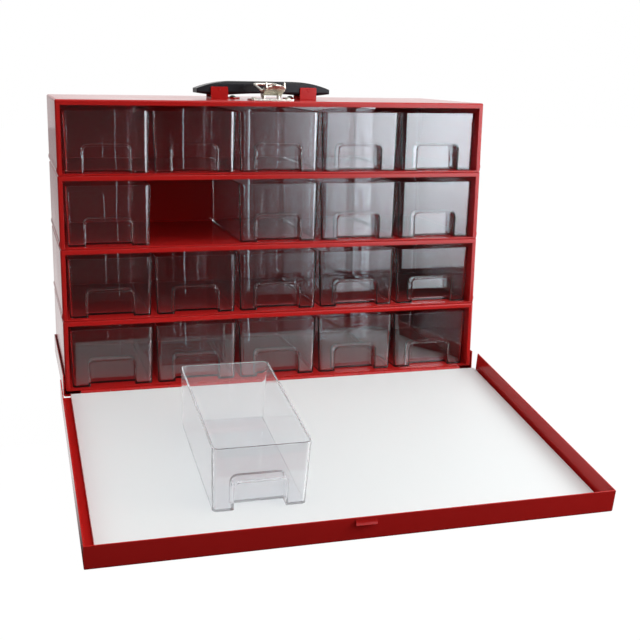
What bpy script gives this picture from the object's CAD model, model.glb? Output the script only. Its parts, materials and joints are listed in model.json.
"""Looks of the parts bin cabinet: a portable red steel cabinet of clear bins with its lid open."""

import json
import math

import bmesh
import bpy
from mathutils import Matrix, Vector


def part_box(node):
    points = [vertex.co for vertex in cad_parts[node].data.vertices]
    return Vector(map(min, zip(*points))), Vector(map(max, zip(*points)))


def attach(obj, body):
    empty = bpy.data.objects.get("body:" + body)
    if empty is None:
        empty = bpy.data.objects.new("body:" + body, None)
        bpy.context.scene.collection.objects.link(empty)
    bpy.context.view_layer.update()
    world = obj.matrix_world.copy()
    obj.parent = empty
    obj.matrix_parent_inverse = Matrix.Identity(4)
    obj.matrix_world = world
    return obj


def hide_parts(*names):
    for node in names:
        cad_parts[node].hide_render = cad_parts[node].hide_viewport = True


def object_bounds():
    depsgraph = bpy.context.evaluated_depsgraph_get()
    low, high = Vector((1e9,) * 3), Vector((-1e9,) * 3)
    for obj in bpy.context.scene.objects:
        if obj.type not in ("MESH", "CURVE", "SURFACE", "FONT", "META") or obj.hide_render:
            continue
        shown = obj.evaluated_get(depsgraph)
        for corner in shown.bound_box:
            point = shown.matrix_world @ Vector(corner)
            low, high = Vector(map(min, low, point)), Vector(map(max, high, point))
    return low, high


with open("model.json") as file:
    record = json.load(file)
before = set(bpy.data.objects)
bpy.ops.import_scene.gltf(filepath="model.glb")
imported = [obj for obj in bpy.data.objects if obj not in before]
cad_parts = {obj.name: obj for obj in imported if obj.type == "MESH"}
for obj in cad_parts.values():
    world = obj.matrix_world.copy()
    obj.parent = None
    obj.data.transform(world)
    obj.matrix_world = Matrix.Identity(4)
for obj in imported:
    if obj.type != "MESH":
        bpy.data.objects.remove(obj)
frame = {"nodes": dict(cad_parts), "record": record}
cad_box = [list(c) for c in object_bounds()]
scene = bpy.context.scene
nodes_of = frame["nodes"]
body_of_node = {n: b for b, ns in frame["record"]["behaviour"]["bodies"].items() for n in ns}
bin_nodes = sorted(n for n in nodes_of if n.startswith("bin_"))


# ---------- materials ----------

class Nodes:
    """A material's node tree, built by short calls."""

    def __init__(self, name):
        self.mat = bpy.data.materials.new(name)
        self.mat.use_nodes = True
        self.tree = self.mat.node_tree
        self.tree.nodes.clear()
        self.out = self.add("ShaderNodeOutputMaterial")

    def add(self, kind, **inputs):
        """A new node; a value goes to the input of that name, or else to the property."""
        node = self.tree.nodes.new(kind)
        for key, value in inputs.items():
            name = key.replace("_", " ")
            if name in node.inputs:
                self.put(node.inputs[name], value)
            else:
                setattr(node, key, value)
        return node

    def put(self, socket, value):
        """Link an output to the socket, or set a plain value on it."""
        if hasattr(value, "is_output") and value.is_output:
            self.tree.links.new(value, socket)
        else:
            socket.default_value = value

    def place(self):
        return self.add("ShaderNodeTexCoord").outputs["Object"]

    def noise(self, scale, detail=2.0, rough=0.5, where=None):
        node = self.add("ShaderNodeTexNoise", Scale=scale, Detail=detail, Roughness=rough)
        self.put(node.inputs["Vector"], where or self.place())
        return node.outputs["Fac"]

    def stretch(self, x, y, z):
        node = self.add("ShaderNodeMapping")
        node.inputs["Scale"].default_value = (x, y, z)
        self.put(node.inputs["Vector"], self.place())
        return node.outputs["Vector"]

    def span(self, value, low, high, a=0.0, b=1.0):
        """Map low..high to a..b in a straight line, held at both ends."""
        node = self.add("ShaderNodeMapRange")
        self.put(node.inputs["Value"], value)
        self.put(node.inputs["From Min"], low)
        self.put(node.inputs["From Max"], high)
        self.put(node.inputs["To Min"], a)
        self.put(node.inputs["To Max"], b)
        return node.outputs["Result"]

    def soft(self, value, low, high, a=0.0, b=1.0):
        """The same as span, with a soft start and end."""
        result = self.span(value, low, high, a, b)
        result.node.interpolation_type = "SMOOTHSTEP"
        return result

    def mix(self, factor, a, b):
        node = self.add("ShaderNodeMix", data_type="RGBA")
        self.put(node.inputs[0], factor)
        self.put(node.inputs[6], a)
        self.put(node.inputs[7], b)
        return node.outputs[2]

    def math(self, op, a, b=0.0):
        node = self.add("ShaderNodeMath", operation=op)
        self.put(node.inputs[0], a)
        self.put(node.inputs[1], b)
        return node.outputs[0]

    def bump(self, height, strength, distance):
        node = self.add("ShaderNodeBump", Strength=strength, Distance=distance)
        self.put(node.inputs["Height"], height)
        return node.outputs["Normal"]

    def surface(self, shader):
        self.put(self.out.inputs["Surface"], shader.outputs[0])
        return self.mat


def red_paint():
    """Gloss enamel with fine orange peel, a cloud of gloss and rubbed edges."""
    m = Nodes("red_paint")
    cloud = m.noise(9.0, 3.0)
    peel = m.noise(900.0, 1.0)
    speck = m.noise(260.0, 3.0, 0.6)
    edge = m.span(m.add("ShaderNodeNewGeometry").outputs["Pointiness"], 0.53, 0.6)
    colour = m.mix(cloud, (0.47, 0.013, 0.012, 1), (0.51, 0.016, 0.014, 1))
    worn = m.math("MULTIPLY", edge, m.span(speck, 0.5, 0.7, 0, 0.35))
    colour = m.mix(worn, colour, (0.50, 0.04, 0.035, 1))
    bsdf = m.add("ShaderNodeBsdfPrincipled")
    m.put(bsdf.inputs["Base Color"], colour)
    m.put(bsdf.inputs["Roughness"], m.span(cloud, 0.3, 0.7, 0.10, 0.15))
    m.put(bsdf.inputs["Normal"], m.bump(peel, 0.08, 0.0002))
    bsdf.inputs["IOR"].default_value = 1.28
    return m.surface(bsdf)


def zinc_plate():
    """Plated steel, slightly yellow, with the grain of its drawing."""
    m = Nodes("zinc_plate")
    drawn = m.noise(60.0, 4.0, 0.6, m.stretch(1, 14, 14))
    bloom = m.noise(170.0, 3.0)
    colour = m.mix(bloom, (0.55, 0.52, 0.43, 1), (0.80, 0.78, 0.72, 1))
    bsdf = m.add("ShaderNodeBsdfPrincipled", Metallic=1.0)
    m.put(bsdf.inputs["Base Color"], colour)
    m.put(bsdf.inputs["Roughness"], m.span(drawn, 0.3, 0.7, 0.18, 0.36))
    m.put(bsdf.inputs["Normal"], m.bump(drawn, 0.06, 0.0002))
    return m.surface(bsdf)


def black_plastic():
    """Moulded grip plastic with a fine grain."""
    m = Nodes("black_plastic")
    grain = m.noise(700.0, 2.0)
    wear = m.noise(40.0, 3.0)
    colour = m.mix(wear, (0.006, 0.006, 0.008, 1), (0.011, 0.011, 0.014, 1))
    bsdf = m.add("ShaderNodeBsdfPrincipled")
    m.put(bsdf.inputs["Base Color"], colour)
    m.put(bsdf.inputs["Roughness"], m.span(wear, 0.3, 0.7, 0.24, 0.32))
    m.put(bsdf.inputs["Normal"], m.bump(grain, 0.12, 0.0003))
    bsdf.inputs["IOR"].default_value = 1.30
    return m.surface(bsdf)


def white_board():
    """White liner board with a slight cloud and a paper grain."""
    m = Nodes("white_board")
    cloud = m.noise(5.0, 4.0)
    grain = m.noise(420.0, 2.0)
    colour = m.mix(cloud, (0.76, 0.79, 0.79, 1), (0.81, 0.84, 0.84, 1))
    bsdf = m.add("ShaderNodeBsdfPrincipled")
    m.put(bsdf.inputs["Base Color"], colour)
    m.put(bsdf.inputs["Roughness"], m.span(grain, 0.3, 0.7, 0.42, 0.52))
    m.put(bsdf.inputs["Normal"], m.bump(grain, 0.05, 0.0002))
    return m.surface(bsdf)


def clear_plastic(name, clearness):
    """Clear moulded plastic with scuffs; light passes it on the way to other surfaces."""
    m = Nodes(name)
    flow = m.noise(14.0, 2.0)
    scuff = m.noise(120.0, 5.0, 0.7, m.stretch(1, 1, 5))
    rough = m.span(scuff, 0.60, 0.78, 0.0, 0.08)
    glass = m.add("ShaderNodeBsdfPrincipled")
    m.put(glass.inputs["Base Color"], m.mix(flow, (0.965, 0.975, 0.99, 1), (0.985, 0.985, 0.99, 1)))
    m.put(glass.inputs["Roughness"], rough)
    m.put(glass.inputs["Normal"], m.bump(flow, 0.02, 0.0003))
    glass.inputs["Transmission Weight"].default_value = clearness
    glass.inputs["IOR"].default_value = 1.50
    through = m.add("ShaderNodeBsdfTransparent")
    through.inputs["Color"].default_value = (0.95, 0.955, 0.965, 1)
    path = m.add("ShaderNodeLightPath")
    soft = m.math("MAXIMUM", path.outputs["Is Shadow Ray"], path.outputs["Is Diffuse Ray"])
    mix = m.add("ShaderNodeMixShader")
    m.put(mix.inputs[0], soft)
    m.put(mix.inputs[1], glass.outputs[0])
    m.put(mix.inputs[2], through.outputs[0])
    return m.surface(mix)


MATERIALS = {
    "red_paint": red_paint(),
    "zinc_plate": zinc_plate(),
    "black_plastic": black_plastic(),
    "white_board": white_board(),
    "clear_plastic": clear_plastic("clear_plastic", 0.996),
}
# The bin on the white lid is hazier than those in the rows, which softens its dark outlines.
HANDLED_PLASTIC = clear_plastic("clear_plastic_handled", 0.93)
slot_of = {s["node"]: s["material_slot"] for s in frame["record"]["subparts"]}


def dress(obj, slot):
    """Give an object the material of a slot, and no other."""
    obj.data.materials.clear()
    obj.data.materials.append(MATERIALS[slot])


# ---------- pieces ----------

RECESS_HALF = 0.019     # half the width of a bin's finger recess
RECESS_TOP = 0.023      # its height, with a little to spare
RECESS_ARC = 0.004      # radius of its upper corners
RECESS_ROUND = 0.0014   # rounding of its upright edges
RECESS_SLACK = 0.001    # how far outside the recess one of its edges may lie
RECESS_FOOT = 0.0005    # edges lower than this belong to the bottom
FRONT_DEPTH = 0.004     # how far behind the bin's front an edge of its front face may lie
FACING_FRONT = -0.97    # a face whose normal's y is under this is a front face
BIN_SEGMENTS = 4        # faces in each rounded edge of a bin
SEGMENTS = 2            # and of the other pieces
MERGE = 1e-6            # points closer than this are one
FLAT = math.radians(1.0)     # faces that turn less than this are one face
SHARP = math.radians(35.0)   # edges that turn more than this are rounded
NORMALS_BY_FACE = 100   # weight at which a flat face keeps its own normal up to its rounded edges
BEVEL = {
    "red_paint": 0.00035,
    "white_board": 0.0004,
    "clear_plastic": 0.00025,
    "zinc_plate": 0.00015,
    "black_plastic": 0.0004,
}


def sharp(edge):
    """Whether an edge joins two faces that turn away from each other enough to be rounded."""
    return len(edge.link_faces) == 2 and edge.calc_face_angle(0.0) > SHARP


def recess_weight(edge, low, mid):
    """How far an edge of a bin's front face takes the recess's bigger rounding, from 0 to 1."""
    middle = (edge.verts[0].co + edge.verts[1].co) / 2
    off = abs(middle.x - mid)
    front = min(f.normal.y for f in edge.link_faces) < FACING_FRONT
    inside = off < RECESS_HALF + RECESS_SLACK and low.z + RECESS_FOOT < middle.z < low.z + RECESS_TOP
    if not (front and inside and middle.y < low.y + FRONT_DEPTH):
        return 0.0
    return max(0.0, 1 - max(0.0, RECESS_HALF - off) / RECESS_ARC)


def refined(node, width):
    """A copy of a node's mesh with its edges softened, standing for the node."""
    src = nodes_of[node]
    is_bin = node in bin_nodes
    mesh = src.data.copy()
    bm = bmesh.new()
    bm.from_mesh(mesh)
    bmesh.ops.remove_doubles(bm, verts=bm.verts, dist=MERGE)
    bmesh.ops.dissolve_limit(bm, angle_limit=FLAT, verts=bm.verts, edges=bm.edges)
    widest = RECESS_ROUND if is_bin else width
    low, high = (Vector(c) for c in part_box(node))
    layer = bm.edges.layers.float.new("bevel_weight_edge")
    bm.normal_update()
    for e in bm.edges:
        if sharp(e):
            e[layer] = width / widest
            if is_bin:
                e[layer] = max(e[layer], recess_weight(e, low, (low.x + high.x) / 2))
    bm.to_mesh(mesh)
    bm.free()
    obj = bpy.data.objects.new(node + "_finished", mesh)
    scene.collection.objects.link(obj)
    obj.matrix_world = src.matrix_world
    if "custom_normal" in mesh.attributes:
        mesh.attributes.remove(mesh.attributes["custom_normal"])
    for poly in mesh.polygons:
        poly.use_smooth = True
    bevel = obj.modifiers.new("edges", "BEVEL")
    bevel.width = widest
    bevel.segments = BIN_SEGMENTS if is_bin else SEGMENTS
    bevel.limit_method = "WEIGHT"
    bevel.use_clamp_overlap = not is_bin
    level = obj.modifiers.new("level_normals", "WEIGHTED_NORMAL")
    level.weight = NORMALS_BY_FACE
    level.keep_sharp = True
    dress(obj, slot_of[node])
    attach(obj, body_of_node[node])
    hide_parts(node)
    return obj


for name, obj in nodes_of.items():
    dress(obj, slot_of[name])

for name in sorted(nodes_of):
    piece = refined(name, BEVEL[slot_of[name]])
    if name == "bin_loose":
        piece.data.materials[0] = HANDLED_PLASTIC

# ---------- stage ----------

BENCH_EDGE = -0.0768    # the cabinet stands at the edge of a bench, and its lid hangs in front of it
NEAR_EDGE = -0.6        # the floor in front of this shows in no reflection or refraction
SIDE, BACK, FRONT = 3, 4, -4   # how far the stage reaches
FLOOR = cad_box[0][2] - 0.0005   # just under the hanging lid


def stage_mesh(name, corners, faces, material):
    mesh = bpy.data.meshes.new(name)
    mesh.from_pydata(corners, [], faces)
    obj = bpy.data.objects.new(name, mesh)
    scene.collection.objects.link(obj)
    mesh.materials.append(material)
    return obj


def plane(name, corners, material):
    """One flat stage face through the corners."""
    return stage_mesh(name, corners, [tuple(range(len(corners)))], material)


def floor_material():
    """White to the camera with a trace of shadow, and in reflections bright only close to the object."""
    m = Nodes("pale_floor")
    cloud = m.noise(3.0, 3.0)
    bsdf = m.add("ShaderNodeBsdfPrincipled", Roughness=0.9)
    m.put(bsdf.inputs["Base Color"], m.mix(cloud, (0.15, 0.15, 0.15, 1), (0.17, 0.17, 0.17, 1)))
    split = m.add("ShaderNodeSeparateXYZ")
    m.put(split.inputs[0], m.place())
    path = m.add("ShaderNodeLightPath")
    # Refractions see it bright behind y = -0.42, reflections behind y = -0.15, and both less on the left.
    near = m.span(split.outputs["Y"], NEAR_EDGE, -0.42)
    near = m.math("MULTIPLY", near, m.span(path.outputs["Is Glossy Ray"], 0, 1, 1.0, 0.0))
    near = m.math("MAXIMUM", near, m.span(split.outputs["Y"], -0.30, -0.15))
    near = m.math("MULTIPLY", near, m.soft(split.outputs["X"], -0.30, -0.16, 0.36, 1.0))
    mirrored = m.math("MAXIMUM", path.outputs["Is Transmission Ray"], path.outputs["Is Glossy Ray"])
    glow = m.add("ShaderNodeEmission")
    m.put(glow.inputs["Strength"], m.math("MAXIMUM", path.outputs["Is Camera Ray"], near))
    glow.inputs["Color"].default_value = (1.06, 1.06, 1.06, 1)
    seen = m.math("MAXIMUM", path.outputs["Is Camera Ray"], mirrored)
    mix = m.add("ShaderNodeMixShader")
    m.put(mix.inputs[0], m.math("MULTIPLY", seen, 0.94))
    m.put(mix.inputs[1], bsdf.outputs[0])
    m.put(mix.inputs[2], glow.outputs[0])
    return m.surface(mix)


def level_plane(name, front, back, height, material):
    """A level stage face, from one y to another."""
    corners = [(-SIDE, front, height), (SIDE, front, height), (SIDE, back, height), (-SIDE, back, height)]
    return plane(name, corners, material)


floor_mat = floor_material()
level_plane("bench_top", BENCH_EDGE, BACK, 0, floor_mat)
bench_face = [(-SIDE, BENCH_EDGE, FLOOR), (SIDE, BENCH_EDGE, FLOOR),
              (SIDE, BENCH_EDGE, 0), (-SIDE, BENCH_EDGE, 0)]
plane("bench_front", bench_face, floor_mat)
level_plane("floor_near", NEAR_EDGE, BENCH_EDGE, FLOOR, floor_mat)
far = level_plane("floor_far", FRONT, NEAR_EDGE, FLOOR, floor_mat)
far.visible_glossy = False
far.visible_transmission = False


class WorldNodes(Nodes):
    """The world's node tree, built by the same short calls."""

    def __init__(self, name):
        world = bpy.data.worlds.new(name)
        scene.world = world
        world.use_nodes = True
        self.tree = world.node_tree
        self.tree.nodes.clear()
        self.out = self.add("ShaderNodeOutputWorld")


def studio_world():
    """Bright behind and less so above, dimmer on the left, dark in front; plain white to the camera."""
    w = WorldNodes("studio")
    split = w.add("ShaderNodeSeparateXYZ")
    w.put(split.inputs[0], w.add("ShaderNodeTexCoord").outputs["Generated"])
    x, y, z = (split.outputs[k] for k in "XYZ")
    back = w.soft(y, -0.10, 0.30)
    up = w.soft(z, 0.35, 0.95, 0.0, 0.68)
    side = w.soft(x, -0.14, 0.10, 0.38, 0.9)
    level = w.math("ADD", w.math("MULTIPLY", w.math("MAXIMUM", back, up), side), 0.05)
    shade = w.add("ShaderNodeBackground", Color=(1, 1, 1, 1))
    seen = w.add("ShaderNodeLightPath").outputs["Is Camera Ray"]
    w.put(shade.inputs["Strength"], w.math("MAXIMUM", level, seen))
    w.put(w.out.inputs["Surface"], shade.outputs[0])


studio_world()


WINDOW_AWAY = 3         # distance of the window's curved sheet from the origin, in metres
WINDOW_STRENGTH = 8.5   # at its brightest, with 1 as white
TURNS = range(6, 79, 4)      # degrees to the right of straight in front, where the sheet has its points
RISES = range(-18, 47, 4)    # degrees above the horizon


def on_sheet(turn, rise):
    """A point of the window's sheet, by its turn to the right and its rise, in degrees."""
    a, e = math.radians(turn), math.radians(rise)
    return (WINDOW_AWAY * math.sin(a) * math.cos(e), -WINDOW_AWAY * math.cos(a) * math.cos(e),
            WINDOW_AWAY * math.sin(e))


def bright_window():
    """A big soft window in front on the right that only reflections and refractions see."""
    m = Nodes("bright_window")
    split = m.add("ShaderNodeSeparateXYZ")
    unit = m.add("ShaderNodeVectorMath", operation="NORMALIZE")
    m.put(unit.inputs[0], m.place())
    m.put(split.inputs[0], unit.outputs[0])
    x, y, z = (split.outputs[k] for k in "XYZ")
    turn = m.math("MULTIPLY", m.math("ARCTAN2", x, m.math("MULTIPLY", y, -1.0)), 180 / math.pi)
    rise = m.math("MULTIPLY", m.math("ARCSINE", z), 180 / math.pi)
    level = m.math("POWER", m.soft(turn, 7.0, 26.0), 1.9)
    to_right = m.soft(turn, 45.0, 75.0, 1.0, 0.0)
    to_floor = m.soft(rise, -17.0, 0.0)
    to_top = m.soft(rise, 18.0, 45.0, 1.0, 0.0)
    for fade in (to_right, to_floor, to_top):
        level = m.math("MULTIPLY", level, fade)
    glow = m.add("ShaderNodeEmission")
    m.put(glow.inputs["Strength"], m.math("MULTIPLY", level, WINDOW_STRENGTH))
    glow.inputs["Color"].default_value = (0.94, 0.98, 1.05, 1)
    m.surface(glow)
    spots = [on_sheet(a, e) for e in RISES for a in TURNS]
    n = len(TURNS)
    faces = [(k * n + i, k * n + i + 1, (k + 1) * n + i + 1, (k + 1) * n + i)
             for k in range(len(RISES) - 1) for i in range(n - 1)]
    obj = stage_mesh("bright_window", spots, faces, m.mat)
    obj.visible_camera = False
    obj.visible_diffuse = False
    obj.visible_shadow = False


bright_window()


def lamp(name, place, target, size, watts):
    """A rectangular area lamp that the camera doesn't see, aimed at a target."""
    data = bpy.data.lights.new(name, "AREA")
    data.shape = "RECTANGLE"
    data.size, data.size_y = size
    data.energy = watts
    obj = bpy.data.objects.new(name, data)
    obj.location = place
    obj.rotation_euler = (Vector(target) - Vector(place)).to_track_quat("-Z", "Y").to_euler()
    scene.collection.objects.link(obj)
    obj.visible_camera = False


lamp("top_soft", place=(0.55, -0.70, 1.55), target=(0, -0.12, 0.05), size=(1.3, 0.8), watts=11.4)
lamp("right_front", place=(1.0, -0.75, 0.52), target=(0.05, -0.1, 0.12), size=(0.5, 0.6), watts=9.8)
lamp("left_soft", place=(-1.2, -0.25, 0.9), target=(0, -0.15, 0.0), size=(0.8, 0.8), watts=5.0)

# ---------- camera ----------

# The camera is turned 16.7 degrees to the right, dips 13.3 degrees and leans 1.1 degrees to the left.
CAMERA_PLACE = (-0.2284, -0.9620, 0.2756)
RIGHT = Vector((0.9590, -0.2828, 0.0184))
UP = Vector((0.0480, 0.2260, 0.9729))
FORWARD = Vector((0.2793, 0.9322, -0.2303))

camera = bpy.data.objects.new("camera", bpy.data.cameras.new("camera"))
scene.collection.objects.link(camera)
aimed = Matrix((RIGHT, UP, -FORWARD)).transposed().to_4x4()
camera.matrix_world = Matrix.Translation(CAMERA_PLACE) @ aimed
camera.data.sensor_width = 36.0
camera.data.lens = 59.5
scene.camera = camera

scene.view_settings.view_transform = "Standard"
# Light crosses many walls of clear plastic before it leaves a row of bins.
scene.cycles.max_bounces = 24
scene.cycles.transmission_bounces = 24
scene.cycles.glossy_bounces = 8
scene.cycles.transparent_max_bounces = 48
